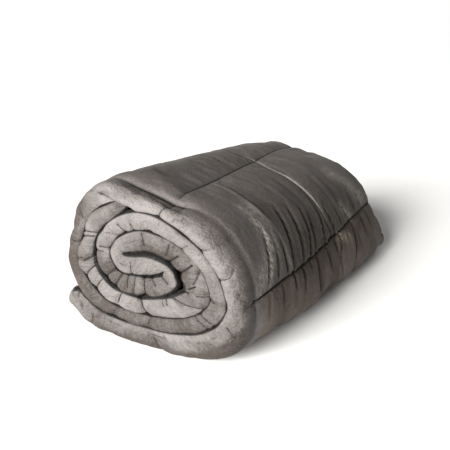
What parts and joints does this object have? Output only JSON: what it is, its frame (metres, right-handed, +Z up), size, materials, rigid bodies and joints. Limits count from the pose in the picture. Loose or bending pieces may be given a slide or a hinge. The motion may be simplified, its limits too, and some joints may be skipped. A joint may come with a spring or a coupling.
{
  "type": "weighted blanket",
  "caption": "Weighted blanket of warm grey quilted velvet, folded to a strip, doubled and rolled up, lying on its side.",
  "frame": {"origin": "middle of the bounding box's underside, on the ground the roll lies on", "axes": "+Y along the roll, from its open spiral end (-Y) to its back end; +Z up; the loose lip is on the -X side"},
  "size_m": [0.314, 0.5, 0.2174],
  "materials": {
    "velvet": "warm grey short-pile velvet, matt with a soft sheen"
  },
  "bodies": {
    "root": {"blanket": "velvet"}
  },
  "joints": []
}
